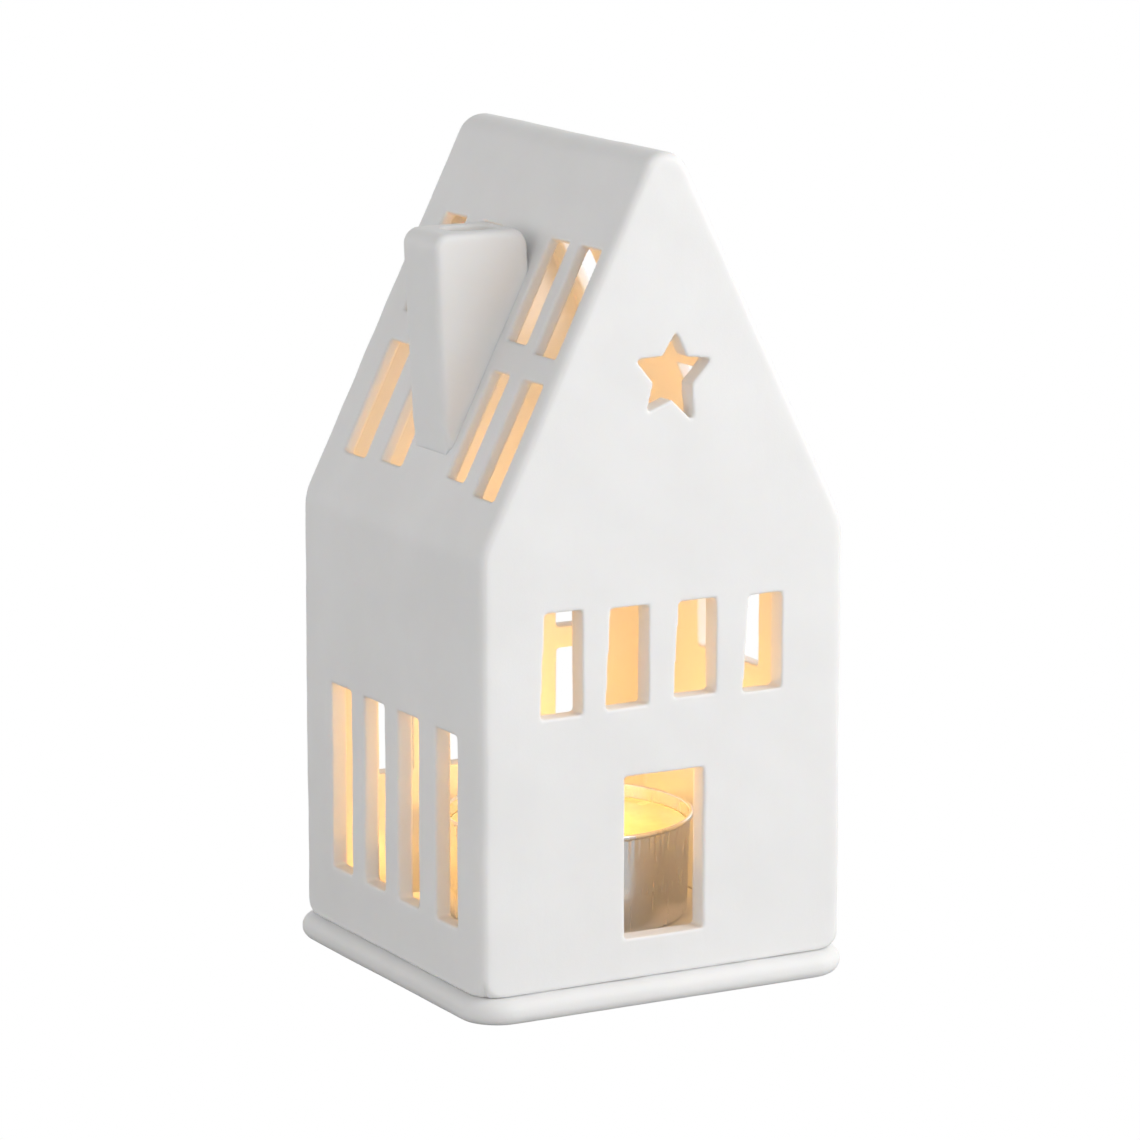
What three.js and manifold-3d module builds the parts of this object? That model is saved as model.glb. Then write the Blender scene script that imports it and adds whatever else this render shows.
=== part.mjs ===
// A porcelain tealight holder in the shape of a tall, narrow gabled house. Millimetres, +Z up.
// The origin is the centre of the base plate's underside. The gable with the door faces -Y, the ridge
// runs along Y, and the chimney stands on the -X slope of the roof.
import * as THREE from "three";
import { mergeVertices } from "three/addons/utils/BufferGeometryUtils.js";
import Module from "manifold-3d";

const wasm = await Module();
wasm.setup();

// Clearance between two pieces that rest on or against each other.
const GAP = 0.3;
// How far a cutter runs past the surface that it cuts.
const OVERRUN = 4;

// Base plate: a slab with a full round edge, and a raised platform that carries the tealight.
const PLATE = { width: 65, depth: 63.6, thickness: 4, corner: 6.8, edge: 1.9 };
const PLATFORM = { width: 41, depth: 41.4, height: 3.1, corner: 4, edge: 0.8 };

// House shell: outside sizes, with heights above its foot.
const HOUSE = {
  width: 61.6,
  front: -29.8,
  back: 28.7,
  eave: 66.2,
  apex: 128.2,
  edge: 1.6,
  eaveRound: 8,
  ridgeRound: 4.2,
};
const WALL = { gable: 3.5, side: 2.7, roof: 1.9 };

// Hand-cut openings of the front gable, with heights above the plate's top face.
const DOOR = { centre: -0.1, width: 13.5, sill: 6.3, head: 31 };
const WINDOW_LEAN = 0.8;
const FRONT_WINDOWS = [
  { centre: -17, width: 6.2, sill: 41.2, head: 56.9 },
  { centre: -6, width: 6.5, sill: 41.5, head: 56.5 },
  { centre: 5.5, width: 6.4, sill: 42, head: 56.4 },
  { centre: 17.1, width: 5.8, sill: 41.6, head: 56.2 },
];
// The star's arms run anticlockwise from the top one, each with its own reach and its own turn in degrees
// away from an even star.
const STAR = {
  x: 1.2,
  z: 90.2,
  notch: 3.5,
  tilt: -5,
  arms: [
    { reach: 6.5, turn: 1 },
    { reach: 7, turn: -1 },
    { reach: 6.8, turn: 0 },
    { reach: 7.8, turn: -5 },
    { reach: 6.9, turn: 5 },
  ],
};

// Openings of the back gable.
const BACK_WINDOWS = { centres: [-16.6, -6.1, 4.4, 14.9], width: 6.2 };
const BACK_ROWS = [
  { sill: 21.2, head: 38 },
  { sill: 41.4, head: 57.7 },
];

// Openings of the two side walls.
const LEFT_SLOTS = { centres: [15.8, 4.8, -6.3, -18.6], width: 6.8, sill: 9.3, head: 38.3 };
const RIGHT_WINDOWS = { centres: [-5.1, 5.1], width: 8.2 };
const RIGHT_ROWS = [
  { sill: 14, head: 31 },
  { sill: 40, head: 57 },
];

// Openings of the roof: rows of slots, as stretches measured up the slope from the eave.
const LEFT_ROOF_ROWS = [
  {
    from: 8.3,
    to: 26.7,
    slots: [
      { centre: 17.9, width: 7 },
      { centre: 6.2, width: 6.7, foot: 8.8 },
      { centre: -14, width: 5.3, foot: 9.5 },
      { centre: -23.7, width: 6.3 },
    ],
  },
  {
    from: 31.6,
    to: 47.9,
    slots: [
      { centre: 17.9, width: 7 },
      { centre: 6.2, width: 6.7 },
      { centre: -14.6, width: 6 },
      { centre: -23.9, width: 6.6, foot: 30.7 },
    ],
  },
];
const RIGHT_ROOF_ROWS = [
  {
    from: 8.3,
    to: 23.7,
    slots: [
      { centre: 22.3, width: 5.6 },
      { centre: -3.8, width: 7 },
      { centre: -13.8, width: 6.2 },
      { centre: -23.2, width: 6.2 },
    ],
  },
  {
    from: 30,
    to: 46.5,
    slots: [
      { centre: 16.6, width: 8.9 },
      { centre: -3.8, width: 7 },
      { centre: -13.8, width: 6.2 },
      { centre: -23.2, width: 6.2 },
    ],
  },
];

// Chimney: a tapered block with an oblong flue, luted onto the roof slope.
const CHIMNEY = {
  left: -27.4,
  right: -11.9,
  front: -9.5,
  back: 1.6,
  top: 110.3,
  taper: 2.5,
  corner: 2.4,
  edge: 1.2,
};
const FLUE = { left: -22.9, right: -15, front: -7, back: -1.2, corner: 2.4 };

// Tealight: drawn cup, wax, wick and the metal foot that holds the wick upright.
const CUP = { rim: 18.8, foot: 18.1, height: 15.5, wall: 0.4, lip: 0.35, heel: 1 };
const WAX_BELOW_RIM = 2.5;
const WICK = { radius: 0.75, above: 7 };
const FOOT = { radius: 6, sheet: 0.3, collarWall: 0.4, collarHeight: 4 };

// How finely rounds are made: steps along an edge's round, along an outline's arcs and round a lathe.
const EDGE_STEPS = 6;
const ARC_STEPS = 8;
const ROUND_STEPS = 60;
const SMALL_ROUND_STEPS = 20;

const PLATE_TOP = PLATE.thickness;
const HOUSE_FOOT = PLATE_TOP + GAP;
const EAVE_Z = PLATE_TOP + HOUSE.eave;
const APEX_Z = PLATE_TOP + HOUSE.apex;
const SLOPE = Math.atan2(APEX_Z - EAVE_Z, HOUSE.width / 2);

// A mesh's geometry as a manifold-3d solid, and the way back.
function toSolid(geometry) {
  const bare = geometry.clone();
  bare.deleteAttribute("normal");
  bare.deleteAttribute("uv");
  const merged = mergeVertices(bare, 1e-4);
  return new wasm.Manifold(
    new wasm.Mesh({
      numProp: 3,
      vertProperties: new Float32Array(merged.attributes.position.array),
      triVerts: new Uint32Array(merged.index.array),
    }),
  );
}

function toGeometry(solid) {
  const mesh = solid.getMesh();
  const geometry = new THREE.BufferGeometry();
  geometry.setAttribute("position", new THREE.BufferAttribute(mesh.vertProperties, 3));
  geometry.setIndex(new THREE.BufferAttribute(mesh.triVerts, 1));
  geometry.computeVertexNormals();
  return geometry;
}

function namedMesh(name, geometry, look) {
  const mesh = new THREE.Mesh(geometry, new THREE.MeshStandardMaterial(look));
  mesh.name = name;
  return mesh;
}

// A closed outline through corners [x, y, radius], with a round of that radius at each corner.
function roundedOutline(corners) {
  const shape = new THREE.Shape();
  corners.forEach(([x, y, radius], i) => {
    const corner = new THREE.Vector2(x, y);
    if (!radius) {
      if (i) shape.lineTo(x, y);
      else shape.moveTo(x, y);
      return;
    }
    const before = corners[(i + corners.length - 1) % corners.length];
    const after = corners[(i + 1) % corners.length];
    const back = new THREE.Vector2(before[0], before[1]).sub(corner).normalize();
    const ahead = new THREE.Vector2(after[0], after[1]).sub(corner).normalize();
    const half = Math.acos(back.dot(ahead)) / 2;
    const start = corner.clone().addScaledVector(back, radius / Math.tan(half));
    const end = corner.clone().addScaledVector(ahead, radius / Math.tan(half));
    const middle = back.clone().add(ahead).normalize();
    const centre = corner.clone().addScaledVector(middle, radius / Math.sin(half));
    if (i) shape.lineTo(start.x, start.y);
    else shape.moveTo(start.x, start.y);
    const from = Math.atan2(start.y - centre.y, start.x - centre.x);
    const to = Math.atan2(end.y - centre.y, end.x - centre.x);
    shape.absarc(centre.x, centre.y, radius, from, to, back.cross(ahead) > 0);
  });
  shape.closePath();
  return shape;
}

function roundedRectangle(width, depth, corner) {
  const x = width / 2;
  const y = depth / 2;
  return roundedOutline([
    [-x, -y, corner],
    [x, -y, corner],
    [x, y, corner],
    [-x, y, corner],
  ]);
}

// An outline in X and Y made into a slab between two heights, with rounded edges if edge is given.
function slab(outline, bottom, top, edge = 0) {
  const geometry = new THREE.ExtrudeGeometry(outline, {
    depth: top - bottom - 2 * edge,
    bevelEnabled: edge > 0,
    bevelThickness: edge,
    bevelSize: edge,
    bevelOffset: -edge,
    bevelSegments: EDGE_STEPS,
    curveSegments: ARC_STEPS,
  });
  return geometry.translate(0, 0, bottom + edge);
}

// An outline in X and Z made into a bar along Y between two places.
function barAlongY(outline, from, to, edge = 0) {
  return slab(outline, -to, -from, edge).rotateX(Math.PI / 2);
}

function box(x0, x1, y0, y1, z0, z1) {
  const geometry = new THREE.BoxGeometry(x1 - x0, y1 - y0, z1 - z0);
  return geometry.translate((x0 + x1) / 2, (y0 + y1) / 2, (z0 + z1) / 2);
}

function cutAway(solid, cutters) {
  return cutters.reduce((rest, cutter) => rest.subtract(toSolid(cutter)), solid);
}

// The gabled outline in X and Z, drawn inwards from the outside by the wall and roof thickness.
function gabledOutline(side, roof, bottom, eaveRound, ridgeRound) {
  const x = HOUSE.width / 2 - side;
  const drop = roof / Math.cos(SLOPE);
  const apex = APEX_Z - drop;
  const eave = apex - x * Math.tan(SLOPE);
  return roundedOutline([
    [-x, bottom, 0],
    [x, bottom, 0],
    [x, eave, eaveRound],
    [0, apex, ridgeRound],
    [-x, eave, eaveRound],
  ]);
}

// A hand-cut pane: its left side leans outwards by lean towards the sill.
function paneOutline({ centre, width, sill, head }, lean = 0) {
  const left = centre - width / 2;
  const right = centre + width / 2;
  return new THREE.Shape([
    new THREE.Vector2(left - lean, PLATE_TOP + sill),
    new THREE.Vector2(right, PLATE_TOP + sill),
    new THREE.Vector2(right, PLATE_TOP + head),
    new THREE.Vector2(left, PLATE_TOP + head),
  ]);
}

function starPoint(reach, degrees) {
  const angle = THREE.MathUtils.degToRad(degrees);
  const x = STAR.x + reach * Math.cos(angle);
  const z = PLATE_TOP + STAR.z + reach * Math.sin(angle);
  return new THREE.Vector2(x, z);
}

function starOutline() {
  const step = 360 / STAR.arms.length;
  const points = STAR.arms.flatMap(({ reach, turn }, i) => {
    const angle = 90 + STAR.tilt + step * i;
    return [starPoint(reach, angle + turn), starPoint(STAR.notch, angle + step / 2)];
  });
  return new THREE.Shape(points);
}

function frontCutters() {
  const from = HOUSE.front - OVERRUN;
  const to = HOUSE.front + WALL.gable + OVERRUN / 2;
  const outlines = FRONT_WINDOWS.map((pane) => paneOutline(pane, WINDOW_LEAN));
  outlines.push(paneOutline(DOOR));
  outlines.push(starOutline());
  return outlines.map((outline) => barAlongY(outline, from, to));
}

function backCutters() {
  const from = HOUSE.back - WALL.gable - OVERRUN / 2;
  const to = HOUSE.back + OVERRUN;
  return BACK_ROWS.flatMap((row) =>
    BACK_WINDOWS.centres.map((centre) => {
      const pane = { centre, width: BACK_WINDOWS.width, ...row };
      return barAlongY(paneOutline(pane), from, to);
    }),
  );
}

function sideCutters(outward, centres, width, rows) {
  const face = HOUSE.width / 2;
  const inner = face - WALL.side - OVERRUN / 2;
  const outer = face + OVERRUN;
  const [x0, x1] = outward < 0 ? [-outer, -inner] : [inner, outer];
  return rows.flatMap((row) =>
    centres.map((centre) =>
      box(x0, x1, centre - width / 2, centre + width / 2, PLATE_TOP + row.sill, PLATE_TOP + row.head),
    ),
  );
}

// Boxes set square to the roof slope of one side.
function roofCutters(outward, rows) {
  const deep = 2 * WALL.roof + OVERRUN;
  return rows.flatMap(({ from, to, slots }) =>
    slots.map(({ centre, width, foot = from }) => {
      const along = (foot + to) / 2;
      const x = outward * (HOUSE.width / 2 - along * Math.cos(SLOPE));
      const z = EAVE_Z + along * Math.sin(SLOPE);
      return new THREE.BoxGeometry(to - foot, width, deep).rotateY(outward * SLOPE).translate(x, centre, z);
    }),
  );
}

function flueCutter(bottom, top) {
  const outline = roundedRectangle(FLUE.right - FLUE.left, FLUE.back - FLUE.front, FLUE.corner);
  const x = (FLUE.left + FLUE.right) / 2;
  const y = (FLUE.front + FLUE.back) / 2;
  return slab(outline, bottom, top).translate(x, y, 0);
}

function basePlate() {
  const plate = slab(roundedRectangle(PLATE.width, PLATE.depth, PLATE.corner), 0, PLATE_TOP, PLATE.edge);
  const platform = slab(
    roundedRectangle(PLATFORM.width, PLATFORM.depth, PLATFORM.corner),
    PLATE_TOP - OVERRUN / 2,
    PLATE_TOP + PLATFORM.height,
    PLATFORM.edge,
  );
  return toGeometry(toSolid(plate).add(toSolid(platform)));
}

function houseShell() {
  const below = -OVERRUN;
  const { front, back } = HOUSE;
  const outside = gabledOutline(0, 0, below, HOUSE.eaveRound, HOUSE.ridgeRound);
  const insideRidge = HOUSE.ridgeRound / 2;
  const inside = gabledOutline(WALL.side, WALL.roof, below - OVERRUN, HOUSE.eaveRound, insideRidge);
  const block = toSolid(barAlongY(outside, front, back, HOUSE.edge));
  return toGeometry(
    cutAway(block, [
      box(-HOUSE.width, HOUSE.width, 2 * front, 2 * back, 2 * below, HOUSE_FOOT),
      barAlongY(inside, front + WALL.gable, back - WALL.gable),
      ...frontCutters(),
      ...backCutters(),
      ...sideCutters(-1, LEFT_SLOTS.centres, LEFT_SLOTS.width, [LEFT_SLOTS]),
      ...sideCutters(1, RIGHT_WINDOWS.centres, RIGHT_WINDOWS.width, RIGHT_ROWS),
      ...roofCutters(-1, LEFT_ROOF_ROWS),
      ...roofCutters(1, RIGHT_ROOF_ROWS),
      flueCutter(EAVE_Z, PLATE_TOP + CHIMNEY.top),
    ]),
  );
}

function chimney() {
  const top = PLATE_TOP + CHIMNEY.top;
  const foot = EAVE_Z - OVERRUN;
  const outline = roundedOutline([
    [CHIMNEY.left + CHIMNEY.taper, foot, 0],
    [CHIMNEY.right, foot, 0],
    [CHIMNEY.right, top, CHIMNEY.corner],
    [CHIMNEY.left, top, CHIMNEY.corner],
  ]);
  const block = toSolid(barAlongY(outline, CHIMNEY.front, CHIMNEY.back, CHIMNEY.edge));
  // Everything under the roof slope's face, as a large box turned to the slope.
  const reach = 2 * HOUSE.apex;
  const underRoof = new THREE.BoxGeometry(reach, HOUSE.back - HOUSE.front, reach)
    .translate(0, 0, GAP - reach / 2)
    .rotateY(-SLOPE)
    .translate(-HOUSE.width / 2, 0, EAVE_Z);
  return toGeometry(cutAway(block, [underRoof, flueCutter(foot, top + OVERRUN)]));
}

function lathe(profile, steps) {
  const points = profile.map(([radius, height]) => new THREE.Vector2(radius, height));
  return new THREE.LatheGeometry(points, steps).rotateX(Math.PI / 2);
}

// Outside radius of the cup at a height above its underside.
function cupRadius(height) {
  return CUP.foot + (CUP.rim - CUP.foot) * (height / CUP.height);
}

function tealightCup() {
  const floor = CUP.wall;
  return lathe(
    [
      [0, 0],
      [CUP.foot - CUP.heel, 0],
      [CUP.foot - 0.3 * CUP.heel, 0.3 * CUP.heel],
      [cupRadius(CUP.heel), CUP.heel],
      [cupRadius(CUP.height - 2 * CUP.lip), CUP.height - 2 * CUP.lip],
      [CUP.rim + CUP.lip, CUP.height - CUP.lip],
      [CUP.rim, CUP.height],
      [CUP.rim - CUP.wall, CUP.height],
      [cupRadius(CUP.heel) - CUP.wall, CUP.heel],
      [CUP.foot - CUP.heel - CUP.wall, floor],
      [0, floor],
    ],
    ROUND_STEPS,
  );
}

function wax() {
  const bottom = CUP.wall + GAP;
  const top = CUP.height - WAX_BELOW_RIM;
  const wall = CUP.wall + GAP;
  const bore = WICK.radius + GAP;
  const collar = bore + FOOT.collarWall + GAP;
  const recess = bottom + FOOT.sheet + GAP;
  return lathe(
    [
      [FOOT.radius + GAP, bottom],
      [CUP.foot - CUP.heel - wall, bottom],
      [cupRadius(CUP.heel) - wall, CUP.heel + GAP],
      [cupRadius(top) - wall, top],
      [bore, top],
      [bore, bottom + FOOT.collarHeight + GAP],
      [collar, bottom + FOOT.collarHeight + GAP],
      [collar, recess],
      [FOOT.radius + GAP, recess],
      [FOOT.radius + GAP, bottom],
    ],
    ROUND_STEPS,
  );
}

function wickFoot() {
  const bottom = CUP.wall + GAP;
  const bore = WICK.radius + GAP;
  return lathe(
    [
      [bore, bottom],
      [FOOT.radius, bottom],
      [FOOT.radius, bottom + FOOT.sheet],
      [bore + FOOT.collarWall, bottom + FOOT.sheet],
      [bore + FOOT.collarWall, bottom + FOOT.collarHeight],
      [bore, bottom + FOOT.collarHeight],
      [bore, bottom],
    ],
    SMALL_ROUND_STEPS,
  );
}

function wick() {
  const bottom = CUP.wall + GAP;
  const top = CUP.height - WAX_BELOW_RIM + WICK.above;
  return lathe(
    [
      [0, bottom],
      [WICK.radius, bottom],
      [WICK.radius, top - WICK.radius],
      [0, top],
    ],
    SMALL_ROUND_STEPS,
  );
}

const PORCELAIN = { color: 0xf1efec, roughness: 0.55, metalness: 0 };
const FOIL = { color: 0xc9c7c4, roughness: 0.3, metalness: 1 };
const TINPLATE = { color: 0xb4b2ae, roughness: 0.4, metalness: 1 };
const PARAFFIN = { color: 0xf6ecd2, roughness: 0.45, metalness: 0 };
const COTTON = { color: 0xded5c2, roughness: 0.9, metalness: 0 };

const holder = new THREE.Group();
holder.add(namedMesh("base_plate", basePlate(), PORCELAIN));
holder.add(namedMesh("house_shell", houseShell(), PORCELAIN));
holder.add(namedMesh("chimney", chimney(), PORCELAIN));

const tealight = new THREE.Group();
tealight.position.z = PLATE_TOP + PLATFORM.height + GAP;
tealight.add(namedMesh("tealight_cup", tealightCup(), FOIL));
tealight.add(namedMesh("wax", wax(), PARAFFIN));
tealight.add(namedMesh("wick_foot", wickFoot(), TINPLATE));
tealight.add(namedMesh("wick", wick(), COTTON));
holder.add(tealight);

export default holder;
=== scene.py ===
"""The looks of a porcelain tealight house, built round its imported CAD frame. Lengths are in metres."""
import math

import bmesh
import bpy
import numpy as np
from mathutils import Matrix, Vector


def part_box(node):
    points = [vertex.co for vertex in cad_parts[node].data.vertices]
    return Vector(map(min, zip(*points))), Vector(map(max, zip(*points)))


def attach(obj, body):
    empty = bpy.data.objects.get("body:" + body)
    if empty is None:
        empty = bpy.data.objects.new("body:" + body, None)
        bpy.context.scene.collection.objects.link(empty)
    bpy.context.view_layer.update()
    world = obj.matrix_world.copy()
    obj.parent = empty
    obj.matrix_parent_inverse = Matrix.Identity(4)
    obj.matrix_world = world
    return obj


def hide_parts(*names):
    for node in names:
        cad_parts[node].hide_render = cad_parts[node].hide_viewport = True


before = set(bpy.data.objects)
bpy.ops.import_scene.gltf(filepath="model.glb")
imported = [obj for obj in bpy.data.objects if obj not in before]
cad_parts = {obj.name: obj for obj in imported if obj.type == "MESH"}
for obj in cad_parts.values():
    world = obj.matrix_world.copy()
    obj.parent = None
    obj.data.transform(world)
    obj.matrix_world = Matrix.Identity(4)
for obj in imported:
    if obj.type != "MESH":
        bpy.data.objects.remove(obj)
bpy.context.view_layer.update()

MM = 0.001

CAMERA_AZIMUTH = -28.9
CAMERA_ELEVATION = 11.5
CAMERA_DISTANCE = 0.8
CAMERA_LENS = 166.5
CAMERA_TARGET = Vector((0.36, 0, 60.13)) * MM

# Hand-made irregularity of the porcelain: how far its surface wanders, over what length.
WAVES = 14
SLAB_WANDER = 0.05 * MM
SLAB_WAVELENGTH = 24 * MM
CUT_WANDER = 0.02 * MM
CUT_WAVELENGTH = 7 * MM

# The gap that CAD pieces keep where the real ones touch, how far a foot or the chimney then sinks into its bed,
# and the height over which a piece changes from its flat foot to its uneven surface.
GAP = 0.3 * MM
SUNK = 0.03 * MM
CHIMNEY_SUNK = 0.24 * MM
FOOT_FADE = 4 * MM
# Wear at the house's foot: the corners' radius there, the height it fades over, and the edge's rounding.
CORNER_WEAR = 6 * MM
CORNER_WEAR_HEIGHT = 4.6 * MM
EDGE_WEAR = 0.7 * MM
# The flare of slip round the chimney's joint.
FLARE = 0.4 * MM
FLARE_HEIGHT = 2.4 * MM

# Tealight details that the CAD pieces leave plain.
PLEATS = 96
PLEAT_DEPTH = 0.035 * MM
PLEAT_BAND = 4.6 * MM
FOIL = 0.22 * MM
LIP = 0.42 * MM
LATHE_STEPS = 768
STRAND_RADIUS = 0.4 * MM
FLAME_HEIGHT = 13 * MM
FLAME_RADIUS = 2.7 * MM

# Candle light. The flame's lamp rides with the tealight. The others are soft lamps, as x, y, z and power, that
# ride with the house and stand in for light scattered by its thin walls: up its middle, in the flue, and low
# in three corners of the room round the tealight.
WARM = (1.0, 0.52, 0.12)
FLAME_POWER = 0.024
GLOW_LIGHTS = [
    (0, 0, 58 * MM, 0.0046),
    (0, 0, 84 * MM, 0.0031),
    (0, 0, 104 * MM, 0.0013),
]
FLUE_LIGHT = (-18.9 * MM, -4.1 * MM, 97 * MM, 0.0001)
CORNER_LIGHTS = [
    (-21 * MM, -19.5 * MM, 13 * MM, 0.0003),
    (21 * MM, 19.5 * MM, 13 * MM, 0.0019),
    (-21 * MM, 19.5 * MM, 13 * MM, 0.0024),
]

# Studio: a sky that is bright at the horizon and dark overhead, from the height SKY_FADE (1 is straight up).
SKY_AT_HORIZON = 1.75
SKY_OVERHEAD = 0.05
SKY_FADE = 0.9
# The glow and grey tone of the floor that the camera sees, the tone of the one that lights the object, and the
# radius of both, in metres.
FLOOR_GLOW = 0.75
FLOOR_TONE = 0.4
FLOOR_BOUNCE = 0.55
FLOOR_RADIUS = 4.0
# A soft key light from the front right: watts, metres and degrees.
KEY_POWER = 3.05
KEY_SIZE = 0.6
KEY_AZIMUTH = 42
KEY_ELEVATION = 36
KEY_DISTANCE = 0.75
KEY_TARGET_HEIGHT = 60 * MM


# ---------------------------------------------------------------- helpers

def add(name, data):
    piece = bpy.data.objects.new(name, data)
    bpy.context.scene.collection.objects.link(piece)
    return piece


def apply_modifiers(piece):
    graph = bpy.context.evaluated_depsgraph_get()
    mesh = bpy.data.meshes.new_from_object(piece.evaluated_get(graph))
    piece.modifiers.clear()
    piece.data = mesh


def shade_smooth(piece):
    piece.data.polygons.foreach_set("use_smooth", [True] * len(piece.data.polygons))


def mesh_of_curve(name, curve):
    """An object with the mesh that a curve makes."""
    draft = add(name, curve)
    graph = bpy.context.evaluated_depsgraph_get()
    mesh = bpy.data.meshes.new_from_object(draft.evaluated_get(graph))
    bpy.data.objects.remove(draft)
    piece = add(name, mesh)
    shade_smooth(piece)
    return piece


def points_of(mesh):
    places = np.empty(len(mesh.vertices) * 3)
    mesh.vertices.foreach_get("co", places)
    return places.reshape(-1, 3)


def wander(points, wavelength, seed):
    """A smooth, repeatable random shift for each point, about one unit long."""
    draw = np.random.RandomState(seed)
    shift = np.zeros_like(points)
    for _ in range(WAVES):
        along = draw.normal(size=3)
        along *= 2 * math.pi / (np.linalg.norm(along) * wavelength * draw.uniform(0.7, 1.5))
        way = draw.normal(size=3)
        shift += np.sin(points @ along + draw.uniform(0, 2 * math.pi))[:, None] * way
    return shift / math.sqrt(1.5 * WAVES)


def hand_finished(name, node, voxel, softness, faces, seed, settle=None):
    """A fine copy of a porcelain CAD node with soft edges and a slightly uneven, hand-worked surface.

    softness is the number of smoothing passes. faces is about how many triangles are kept. settle moves the
    finished points, in place, to where the piece bears on its neighbour.
    """
    piece = add(name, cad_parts[node].data.copy())
    piece.data.materials.clear()
    weld = piece.modifiers.new("weld", "WELD")
    weld.merge_threshold = 0.001 * MM
    remesh = piece.modifiers.new("remesh", "REMESH")
    remesh.mode = "VOXEL"
    remesh.voxel_size = voxel
    smooth = piece.modifiers.new("smooth", "SMOOTH")
    smooth.factor = 0.5
    smooth.iterations = softness
    apply_modifiers(piece)
    places = points_of(piece.data)
    foot = places[:, 2].min()
    shift = SLAB_WANDER * wander(places, SLAB_WAVELENGTH, seed)
    shift += CUT_WANDER * wander(places, CUT_WAVELENGTH, seed + 1)
    # A piece stays flat where it stands.
    shift[:, 2] *= np.clip((places[:, 2] - foot) / FOOT_FADE, 0, 1)
    places += shift
    if settle is not None:
        settle(places)
    piece.data.vertices.foreach_set("co", places.ravel())
    thin = piece.modifiers.new("thin", "DECIMATE")
    thin.ratio = min(1, faces / (2 * len(piece.data.polygons)))
    apply_modifiers(piece)
    shade_smooth(piece)
    return piece


def filleted(corners, steps=6):
    """A line through (radius, height, fillet) corners, with an arc of that fillet at each inner corner."""
    line = [np.array(corners[0][:2], float)]
    for before, here, after in zip(corners, corners[1:], corners[2:]):
        corner = np.array(here[:2], float)
        fillet = here[2]
        if not fillet:
            line.append(corner)
            continue
        back = np.array(before[:2]) - corner
        ahead = np.array(after[:2]) - corner
        back /= np.linalg.norm(back)
        ahead /= np.linalg.norm(ahead)
        half = math.acos(np.clip(back @ ahead, -1, 1)) / 2
        middle = back + ahead
        centre = corner + middle / np.linalg.norm(middle) * fillet / math.sin(half)
        start = corner + back * fillet / math.tan(half) - centre
        end = corner + ahead * fillet / math.tan(half) - centre
        for i in range(steps + 1):
            spoke = start * (1 - i / steps) + end * (i / steps)
            line.append(centre + spoke * fillet / np.linalg.norm(spoke))
    line.append(np.array(corners[-1][:2], float))
    return np.array(line)


def divided(line, longest):
    """The same line with stretches longer than longest divided evenly."""
    points = [line[0]]
    for a, b in zip(line, line[1:]):
        parts = max(1, math.ceil(np.linalg.norm(b - a) / longest))
        points += [a + (b - a) * (i + 1) / parts for i in range(parts)]
    return np.array(points)


def turned(name, line, steps, ripple=None):
    """A body of revolution whose line of (radius, height) starts and ends on the axis."""
    turn = np.arange(steps) * 2 * math.pi / steps
    radius = line[:, 0][:, None] + np.zeros(steps)
    height = line[:, 1][:, None] + np.zeros(steps)
    if ripple is not None:
        radius = radius + np.where(radius > 0, ripple(radius, height, turn), 0)
    places = np.stack([radius * np.cos(turn), radius * np.sin(turn), height], axis=-1).reshape(-1, 3)
    faces = []
    for row in range(len(line) - 1):
        for i in range(steps):
            j = (i + 1) % steps
            faces.append((row * steps + i, row * steps + j, (row + 1) * steps + j, (row + 1) * steps + i))
    mesh = bpy.data.meshes.new(name)
    mesh.from_pydata(places.tolist(), [], faces)
    form = bmesh.new()
    form.from_mesh(mesh)
    bmesh.ops.remove_doubles(form, verts=form.verts, dist=0.002 * MM)
    bmesh.ops.dissolve_degenerate(form, edges=form.edges, dist=0.0005 * MM)
    bmesh.ops.recalc_face_normals(form, faces=form.faces)
    form.to_mesh(mesh)
    form.free()
    piece = add(name, mesh)
    shade_smooth(piece)
    return piece


# ---------------------------------------------------------------- materials

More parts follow.
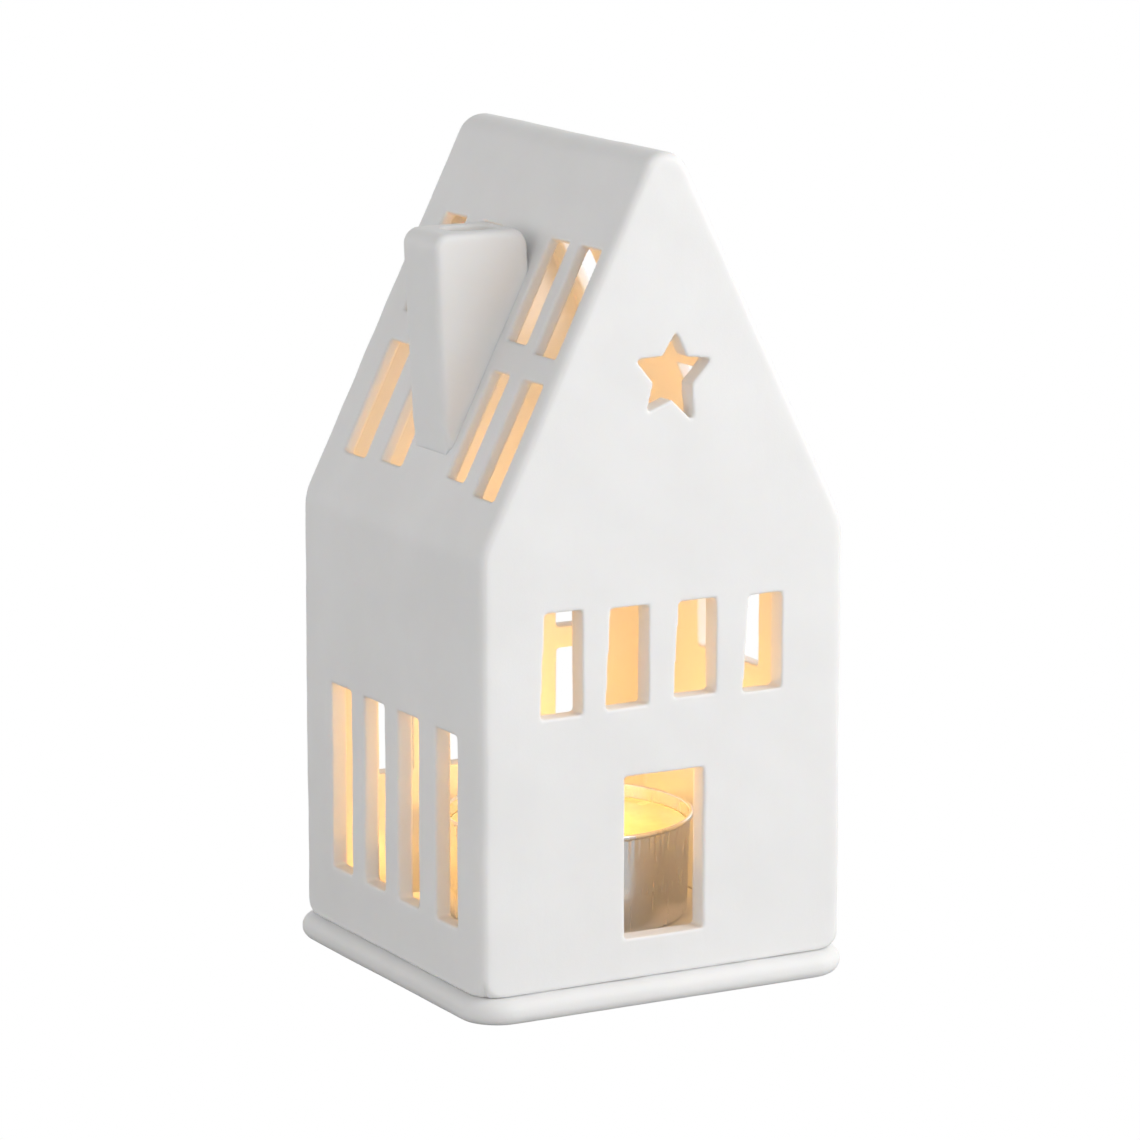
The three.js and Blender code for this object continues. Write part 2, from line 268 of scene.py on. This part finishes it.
class Recipe:
    """A node material under construction."""

    def __init__(self, name):
        self.material = bpy.data.materials.new(name)
        self.material.use_nodes = True
        self.nodes = self.material.node_tree.nodes
        self.links = self.material.node_tree.links
        self.shader = self.nodes["Principled BSDF"]
        self.place = self.nodes.new("ShaderNodeTexCoord").outputs["Object"]

    def set(self, **values):
        for name, value in values.items():
            self.shader.inputs[name.replace("_", " ")].default_value = value

    def join(self, source, target):
        self.links.new(source, target)

    def noise(self, length, detail=3.0, stretch=None, roughness=0.5):
        """Noise whose blobs are about length across."""
        node = self.nodes.new("ShaderNodeTexNoise")
        node.inputs["Scale"].default_value = 1 / length
        node.inputs["Detail"].default_value = detail
        node.inputs["Roughness"].default_value = roughness
        place = self.place
        if stretch is not None:
            mapping = self.nodes.new("ShaderNodeMapping")
            mapping.inputs["Scale"].default_value = stretch
            self.join(self.place, mapping.inputs["Vector"])
            place = mapping.outputs["Vector"]
        self.join(place, node.inputs["Vector"])
        return node.outputs["Fac"]

    def ramp(self, source, *stops):
        """A colour ramp of (position, colour) stops, driven by source."""
        node = self.nodes.new("ShaderNodeValToRGB")
        elements = node.color_ramp.elements
        while len(elements) < len(stops):
            elements.new(0.5)
        for element, (position, colour) in zip(elements, stops):
            element.position = position
            element.color = (*colour, 1) if len(colour) == 3 else colour
        self.join(source, node.inputs["Fac"])
        return node.outputs["Color"]

    def spread(self, source, low, high, from_low=0.3, from_high=0.7):
        """source mapped to the range from low to high."""
        node = self.nodes.new("ShaderNodeMapRange")
        node.inputs["From Min"].default_value = from_low
        node.inputs["From Max"].default_value = from_high
        node.inputs["To Min"].default_value = low
        node.inputs["To Max"].default_value = high
        self.join(source, node.inputs["Value"])
        return node.outputs["Result"]

    def bump(self, source, depth, strength=1.0, normal=None):
        node = self.nodes.new("ShaderNodeBump")
        node.inputs["Distance"].default_value = depth
        node.inputs["Strength"].default_value = strength
        self.join(source, node.inputs["Height"])
        if normal is not None:
            self.join(normal, node.inputs["Normal"])
        return node.outputs["Normal"]


def porcelain():
    """Unglazed white porcelain: faint cloudy tone, fine grain and shallow tooling marks."""
    look = Recipe("bisque_porcelain")
    cloud = look.noise(14 * MM, detail=4)
    look.join(
        look.ramp(cloud, (0.3, (0.775, 0.771, 0.765)), (0.7, (0.805, 0.802, 0.797))),
        look.shader.inputs["Base Color"],
    )
    grain = look.noise(0.35 * MM, detail=4, roughness=0.65)
    tooling = look.noise(4 * MM, detail=2, stretch=(1, 1, 0.35))
    look.join(look.spread(grain, 0.5, 0.64), look.shader.inputs["Roughness"])
    rough = look.bump(grain, 0.02 * MM, 0.7)
    look.join(look.bump(tooling, 0.08 * MM, 0.6, normal=rough), look.shader.inputs["Normal"])
    look.set(IOR=1.5, Subsurface_Weight=0.18, Subsurface_Scale=1.6 * MM)
    look.shader.inputs["Subsurface Radius"].default_value = (1.0, 0.7, 0.42)
    look.shader.inputs["Specular IOR Level"].default_value = 0.35
    return look.material


def aluminium():
    """Thin drawn aluminium: bright, with fine draw marks up the wall."""
    look = Recipe("drawn_aluminium")
    marks = look.noise(0.45 * MM, detail=3, stretch=(1, 1, 0.08))
    look.join(
        look.ramp(marks, (0.25, (0.89, 0.885, 0.88)), (0.75, (0.92, 0.915, 0.91))),
        look.shader.inputs["Base Color"],
    )
    look.join(look.spread(marks, 0.22, 0.28), look.shader.inputs["Roughness"])
    crumple = look.noise(6 * MM, detail=2)
    fine = look.bump(marks, 0.002 * MM, 0.35)
    look.join(look.bump(crumple, 0.05 * MM, 0.5, normal=fine), look.shader.inputs["Normal"])
    look.set(Metallic=1.0)
    return look.material


def tinplate():
    look = Recipe("stamped_tinplate")
    rolled = look.noise(0.4 * MM, detail=3, stretch=(0.1, 1, 1))
    look.join(
        look.ramp(rolled, (0.3, (0.56, 0.55, 0.54)), (0.7, (0.7, 0.69, 0.68))),
        look.shader.inputs["Base Color"],
    )
    look.join(look.spread(rolled, 0.3, 0.5), look.shader.inputs["Roughness"])
    look.join(look.bump(rolled, 0.01 * MM, 0.5), look.shader.inputs["Normal"])
    look.set(Metallic=1.0)
    return look.material


def paraffin():
    """Warm white wax, smooth, its gloss varying in soft patches, with a faint ripple."""
    look = Recipe("paraffin_wax")
    cloud = look.noise(5 * MM, detail=3)
    look.join(
        look.ramp(cloud, (0.3, (0.72, 0.635, 0.42)), (0.7, (0.77, 0.69, 0.49))),
        look.shader.inputs["Base Color"],
    )
    look.join(look.spread(cloud, 0.12, 0.3), look.shader.inputs["Roughness"])
    ripple = look.noise(2.5 * MM, detail=2)
    look.join(look.bump(ripple, 0.05 * MM, 0.4), look.shader.inputs["Normal"])
    look.set(IOR=1.43, Subsurface_Weight=0.5, Subsurface_Scale=3 * MM)
    look.shader.inputs["Subsurface Radius"].default_value = (1.0, 0.6, 0.3)
    return look.material


def cotton(char_height, top):
    """Waxed cotton, charred black above char_height, with a glowing tip."""
    look = Recipe("wick_cotton")
    split = look.nodes.new("ShaderNodeSeparateXYZ")
    look.join(look.place, split.inputs["Vector"])
    height = look.spread(split.outputs["Z"], 0, 1, char_height, top)
    look.join(
        look.ramp(height, (0.0, (0.72, 0.64, 0.5)), (0.25, (0.1, 0.07, 0.05)), (0.5, (0.012, 0.01, 0.009))),
        look.shader.inputs["Base Color"],
    )
    look.join(
        look.ramp(height, (0.82, (0, 0, 0)), (1.0, (1.0, 0.16, 0.02))),
        look.shader.inputs["Emission Color"],
    )
    fibres = look.noise(0.12 * MM, detail=3, stretch=(1, 1, 0.25))
    look.join(look.spread(fibres, 0.75, 0.95), look.shader.inputs["Roughness"])
    look.join(look.bump(fibres, 0.03 * MM, 0.8), look.shader.inputs["Normal"])
    look.set(Emission_Strength=1.5)
    return look.material


def finish(piece, material, body, slot, *nodes):
    piece.data.materials.clear()
    piece.data.materials.append(material)
    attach(piece, body)
    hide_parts(*nodes)


# ---------------------------------------------------------------- porcelain pieces

def settle_house(places):
    """Lets the foot down onto the plate, and wears away the outer edge and the corners at the foot."""
    low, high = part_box("house_shell")
    middle = np.array((low + high) / 2)[:2]
    half_x, half_y = (high.x - low.x) / 2, (high.y - low.y) / 2
    places[:, :2] -= middle
    height = places[:, 2] - low.z
    worn = np.clip(1 - height / CORNER_WEAR_HEIGHT, 0, 1)
    corner = CORNER_WEAR * (1 - np.sqrt(1 - worn ** 2)) + 0.01 * MM
    x = np.abs(places[:, 0]) - (half_x - corner)
    y = np.abs(places[:, 1]) - (half_y - corner)
    # Inside each corner's square, a square outline becomes a round one.
    in_corner = (x > 0) & (y > 0)
    keep = np.maximum(x, y) / np.hypot(x, y)
    places[:, 0] -= np.sign(places[:, 0]) * np.where(in_corner, x * (1 - keep), 0)
    places[:, 1] -= np.sign(places[:, 1]) * np.where(in_corner, y * (1 - keep), 0)
    edge = np.clip(1 - height / EDGE_WEAR, 0, 1)
    tuck = 0.5 * EDGE_WEAR * (1 - np.sqrt(1 - edge ** 2))
    for axis, gap in ((0, half_x - np.abs(places[:, 0])), (1, half_y - np.abs(places[:, 1]))):
        places[:, axis] -= np.sign(places[:, axis]) * tuck * (gap < EDGE_WEAR)
    places[:, :2] += middle
    places[:, 2] -= (GAP + SUNK) * np.clip(1 - height / FOOT_FADE, 0, 1)


def left_slope():
    """The outward normal of the left roof slope, and the slope's distance from the origin along it."""
    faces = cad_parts["house_shell"].data.polygons
    slope = max((face for face in faces if face.normal.x < -0.5 and face.normal.z > 0.2),
                key=lambda face: face.area)
    return slope.normal, slope.normal.dot(slope.center)


def settle_stack(places):
    """Beds the chimney in the roof slope, with a slight flare of slip round the joint."""
    low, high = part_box("chimney")
    normal, distance = left_slope()
    normal = np.array(normal)
    near = np.clip(1 - (places @ normal - distance) / FLARE_HEIGHT, 0, 1)
    places -= normal * ((GAP + CHIMNEY_SUNK) * near)[:, None]
    # The front, back and outer faces spread towards the joint.
    spread = FLARE * near ** 2.5
    middle = (low.y + high.y) / 2
    end_face = np.abs(places[:, 1] - middle) > (high.y - low.y) / 2 - FLARE
    outer_face = places[:, 0] < low.x + FLARE_HEIGHT
    places[:, 1] += np.sign(places[:, 1] - middle) * spread * end_face
    places[:, 0] -= spread * outer_face


def make_porcelain():
    clay = porcelain()
    house = hand_finished("house", "house_shell", 0.3 * MM, 3, 240_000, 11, settle_house)
    finish(house, clay, "house", "porcelain", "house_shell")
    stack = hand_finished("chimney_stack", "chimney", 0.26 * MM, 9, 60_000, 23, settle_stack)
    finish(stack, clay, "house", "porcelain", "chimney")
    plate = hand_finished("plate", "base_plate", 0.36 * MM, 5, 80_000, 37)
    finish(plate, clay, "base", "porcelain", "base_plate")


# ---------------------------------------------------------------- the tealight

def make_cup():
    low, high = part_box("tealight_cup")
    rim = (high.x - low.x) / 2
    wall = rim - LIP
    foot = wall - 0.45 * MM
    bottom, top = low.z - GAP + SUNK, high.z
    line = filleted([
        (0, bottom + 0.3 * MM, 0),
        (foot - 5 * MM, bottom + 0.3 * MM, 0.4 * MM),
        (foot - 4.4 * MM, bottom, 0.4 * MM),
        (foot, bottom, 0.5 * MM),
        (wall - 0.05 * MM, top - 2.2 * LIP, 0.3 * MM),
        (rim, top - 1.5 * LIP, 0.3 * MM),
        (rim, top - 0.3 * LIP, 0.3 * MM),
        (rim - 0.5 * LIP, top, 0.2 * MM),
        (wall - FOIL, top - 0.3 * LIP, 0.2 * MM),
        (wall - FOIL - 0.05 * MM, top - 3 * LIP, 0.3 * MM),
        (foot - FOIL, bottom + FOIL, 0.9 * MM),
        (foot - 4.5 * MM, bottom + FOIL, 0.3 * MM),
        (foot - 5.1 * MM, bottom + FOIL + 0.3 * MM, 0.3 * MM),
        (0, bottom + FOIL + 0.3 * MM, 0),
    ])

    def pleats(radius, height, turn):
        """Pleats on the outside of the wall, which start under the lip and fade out below it."""
        below = top - 1.6 * LIP - height
        fade = np.clip(1 - below / PLEAT_BAND, 0, 1) * np.clip(1 + below / LIP, 0.15, 1)
        uneven = 1 + 0.35 * np.sin(7 * turn + 1.3) * np.sin(11 * turn)
        wall_only = np.clip((radius - 0.9 * foot) / (0.05 * foot), 0, 1)
        outer = foot + (wall - foot) * (height - bottom) / (top - bottom)
        fade = fade * (radius > outer - 0.5 * FOIL)
        dents = 0.05 * MM * np.sin(3 * turn + 0.6) * np.sin(height / (5 * MM))
        return wall_only * (PLEAT_DEPTH * fade * uneven * np.cos(PLEATS * turn) + dents)

    cup = turned("foil_cup", divided(line, 0.9 * MM), LATHE_STEPS, pleats)
    finish(cup, aluminium(), "tealight", "cup_foil", "tealight_cup")


def make_wax():
    low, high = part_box("wax")
    cup_low, cup_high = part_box("tealight_cup")
    outer = (cup_high.x - cup_low.x) / 2 - LIP - FOIL - 0.1 * MM
    foot = outer - 0.7 * MM
    bottom, pool = low.z, high.z
    line = filleted([
        (0, bottom, 0),
        (foot, bottom, 0.8 * MM),
        (outer - 0.1 * MM, pool + 0.45 * MM, 0.1 * MM),
        (outer - 0.5 * MM, pool + 0.2 * MM, 0.3 * MM),
        (outer - 1.5 * MM, pool, 1.2 * MM),
        (outer - 5 * MM, pool - 0.1 * MM, 2 * MM),
        (2.2 * MM, pool - 0.1 * MM, 1 * MM),
        (1.0 * MM, pool + 0.7 * MM, 0.3 * MM),
        (0, pool + 0.8 * MM, 0),
    ])
    wax = turned("wax_fill", divided(line, 0.6 * MM), 160)
    finish(wax, paraffin(), "tealight", "wax", "wax")


def make_wick_foot():
    low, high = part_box("wick_foot")
    rim = (high.x - low.x) / 2
    collar = 1.4 * MM
    sheet = 0.3 * MM
    line = filleted([
        (0, low.z + 0.05 * MM, 0),
        (rim, low.z, 0.1 * MM),
        (rim, low.z + sheet, 0.1 * MM),
        (collar + 1 * MM, low.z + sheet + 0.1 * MM, 0.3 * MM),
        (collar, low.z + 0.5 * (high.z - low.z), 0.4 * MM),
        (collar, high.z, 0.15 * MM),
        (0, high.z, 0),
    ])
    foot = turned("wick_tab", divided(line, 0.4 * MM), 96)
    finish(foot, tinplate(), "tealight", "tinplate", "wick_foot")


def make_wick():
    """Three braided cotton strands, bent a little at the burning end."""
    low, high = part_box("wick")
    wax_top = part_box("wax")[1].z
    curve = bpy.data.curves.new("wick_braid", "CURVE")
    curve.dimensions = "3D"
    curve.bevel_depth = STRAND_RADIUS
    curve.bevel_resolution = 3
    curve.use_fill_caps = True
    steps = 150
    for strand in range(3):
        spline = curve.splines.new("POLY")
        spline.points.add(steps - 1)
        for i, point in enumerate(spline.points):
            part = i / (steps - 1)
            twist = 2 * math.pi * (5.5 * part + strand / 3)
            bend = 1.1 * MM * max(0, part - 0.6) ** 2 / 0.16
            x = 0.4 * MM * math.sin(twist) + bend
            y = 0.22 * MM * math.sin(2 * twist) - 0.5 * bend
            top = high.z - 0.3 * MM - 0.25 * bend
            z = low.z + STRAND_RADIUS + (top - STRAND_RADIUS - low.z) * part
            point.co = (x, y, z, 1)
    wick = mesh_of_curve("wick_braid", curve)
    finish(wick, cotton(wax_top + 1 * MM, high.z), "tealight", "wick_cotton", "wick")


def make_flame():
    """The flame, its lamp, and the lamps for the warm light that it leaves in the house."""
    low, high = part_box("wick")
    base = high.z - 3.4 * MM
    steps = 28
    line = [(0, base)]
    for i in range(1, steps):
        part = i / steps
        radius = FLAME_RADIUS * math.sin(math.pi * part ** 0.62) * (1 - 0.35 * part)
        line.append((radius, base + FLAME_HEIGHT * part))
    line.append((0, base + FLAME_HEIGHT))
    flame = turned("flame", np.array(line), 48)
    look = Recipe("flame_glow")
    split = look.nodes.new("ShaderNodeSeparateXYZ")
    look.join(look.place, split.inputs["Vector"])
    height = look.spread(split.outputs["Z"], 0, 1, base, base + FLAME_HEIGHT)
    look.join(
        look.ramp(height, (0.0, (0.1, 0.2, 0.8)), (0.22, (1.0, 0.5, 0.12)), (0.5, (1.0, 0.85, 0.5)),
                  (1.0, (1.0, 0.62, 0.2))),
        look.shader.inputs["Emission Color"],
    )
    look.set(Emission_Strength=2.2, Roughness=1.0)
    look.shader.inputs["Base Color"].default_value = (0, 0, 0, 1)
    flame.data.materials.append(look.material)
    flame.visible_diffuse = False
    flame.visible_shadow = False
    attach(flame, "tealight")
    warm_light("flame_light", "tealight", (0, 0, base + 0.45 * FLAME_HEIGHT), FLAME_POWER, 2.5 * MM)
    for i, (*place, power) in enumerate(GLOW_LIGHTS):
        warm_light(f"glow_light_{i}", "house", place, power, 6 * MM)
    *place, power = FLUE_LIGHT
    warm_light("flue_light", "house", place, power, 1.5 * MM)
    for i, (*place, power) in enumerate(CORNER_LIGHTS):
        warm_light(f"corner_light_{i}", "house", place, power, 3 * MM)


# ---------------------------------------------------------------- light, floor and camera

def warm_light(name, body, place, power, radius):
    lamp = bpy.data.lights.new(name, "POINT")
    lamp.energy = power
    lamp.color = WARM
    lamp.shadow_soft_size = radius
    light = add(name, lamp)
    light.location = place
    light.visible_camera = False
    light.visible_glossy = name == "flame_light"
    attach(light, body)


def direction(azimuth, elevation):
    """The unit vector towards a place at that azimuth and elevation, in degrees."""
    a, e = math.radians(azimuth), math.radians(elevation)
    return Vector((math.sin(a) * math.cos(e), -math.cos(a) * math.cos(e), math.sin(e)))


def aim(thing, place, target):
    thing.location = place
    thing.rotation_euler = (Vector(target) - Vector(place)).to_track_quat("-Z", "Y").to_euler()


def disc(name, height, tone, glow):
    """A round floor slab of a plain grey tone, with its top at that height, that glows white."""
    edge = [(0, height), (FLOOR_RADIUS, height), (FLOOR_RADIUS, height - 10 * MM), (0, height - 10 * MM)]
    piece = turned(name, np.array(edge), 96)
    look = Recipe(name)
    look.set(Roughness=0.9, Emission_Strength=glow)
    look.shader.inputs["Base Color"].default_value = (tone, tone, tone, 1)
    look.shader.inputs["Specular IOR Level"].default_value = 0
    look.shader.inputs["Emission Color"].default_value = (1, 1, 1, 1)
    piece.data.materials.append(look.material)
    return piece


def only_for_camera(piece):
    for kind in ("diffuse", "glossy", "transmission", "volume_scatter", "shadow"):
        setattr(piece, "visible_" + kind, False)


def make_stage():
    # The camera sees a bright floor with faint shadows. The object is lit by a plain one just under it.
    only_for_camera(disc("floor", -0.05 * MM, FLOOR_TONE, FLOOR_GLOW))
    bounce = disc("floor_bounce", -0.1 * MM, FLOOR_BOUNCE, 0)
    bounce.visible_camera = False
    # A white backdrop that only the camera sees, so that it lights nothing.
    radius = FLOOR_RADIUS - 0.1
    arc = [(radius * math.cos(a), radius * math.sin(a)) for a in np.linspace(0, math.pi / 2, 24)]
    dome = turned("backdrop", np.array([(0, 0)] + arc), 96)
    white = Recipe("white_backdrop")
    white.set(Roughness=1.0, Emission_Strength=1.0)
    white.shader.inputs["Base Color"].default_value = (0, 0, 0, 1)
    white.shader.inputs["Specular IOR Level"].default_value = 0
    white.shader.inputs["Emission Color"].default_value = (1, 1, 1, 1)
    dome.data.materials.append(white.material)
    only_for_camera(dome)


def make_lights():
    world = bpy.data.worlds.new("studio")
    bpy.context.scene.world = world
    world.use_nodes = True
    nodes, links = world.node_tree.nodes, world.node_tree.links
    split = nodes.new("ShaderNodeSeparateXYZ")
    links.new(nodes.new("ShaderNodeTexCoord").outputs["Generated"], split.inputs["Vector"])
    fade = nodes.new("ShaderNodeMapRange")
    fade.inputs["From Max"].default_value = SKY_FADE
    fade.inputs["To Min"].default_value = SKY_AT_HORIZON
    fade.inputs["To Max"].default_value = SKY_OVERHEAD
    links.new(split.outputs["Z"], fade.inputs["Value"])
    links.new(fade.outputs["Result"], nodes["Background"].inputs["Strength"])
    nodes["Background"].inputs["Color"].default_value = (1, 1, 1, 1)
    lamp = bpy.data.lights.new("key", "AREA")
    lamp.energy = KEY_POWER
    lamp.shape = "DISK"
    lamp.size = KEY_SIZE
    key = add("key", lamp)
    key.visible_camera = False
    aim(key, direction(KEY_AZIMUTH, KEY_ELEVATION) * KEY_DISTANCE, (0, 0, KEY_TARGET_HEIGHT))


def make_camera():
    camera = add("camera", bpy.data.cameras.new("camera"))
    camera.data.lens = CAMERA_LENS
    camera.data.sensor_width = 36
    camera.data.clip_start = 0.01
    place = CAMERA_TARGET + direction(CAMERA_AZIMUTH, CAMERA_ELEVATION) * CAMERA_DISTANCE
    aim(camera, place, CAMERA_TARGET)
    bpy.context.scene.camera = camera
    bpy.context.scene.view_settings.view_transform = "Standard"


make_camera()
make_lights()
make_stage()
make_porcelain()
make_cup()
make_wax()
make_wick_foot()
make_wick()
make_flame()
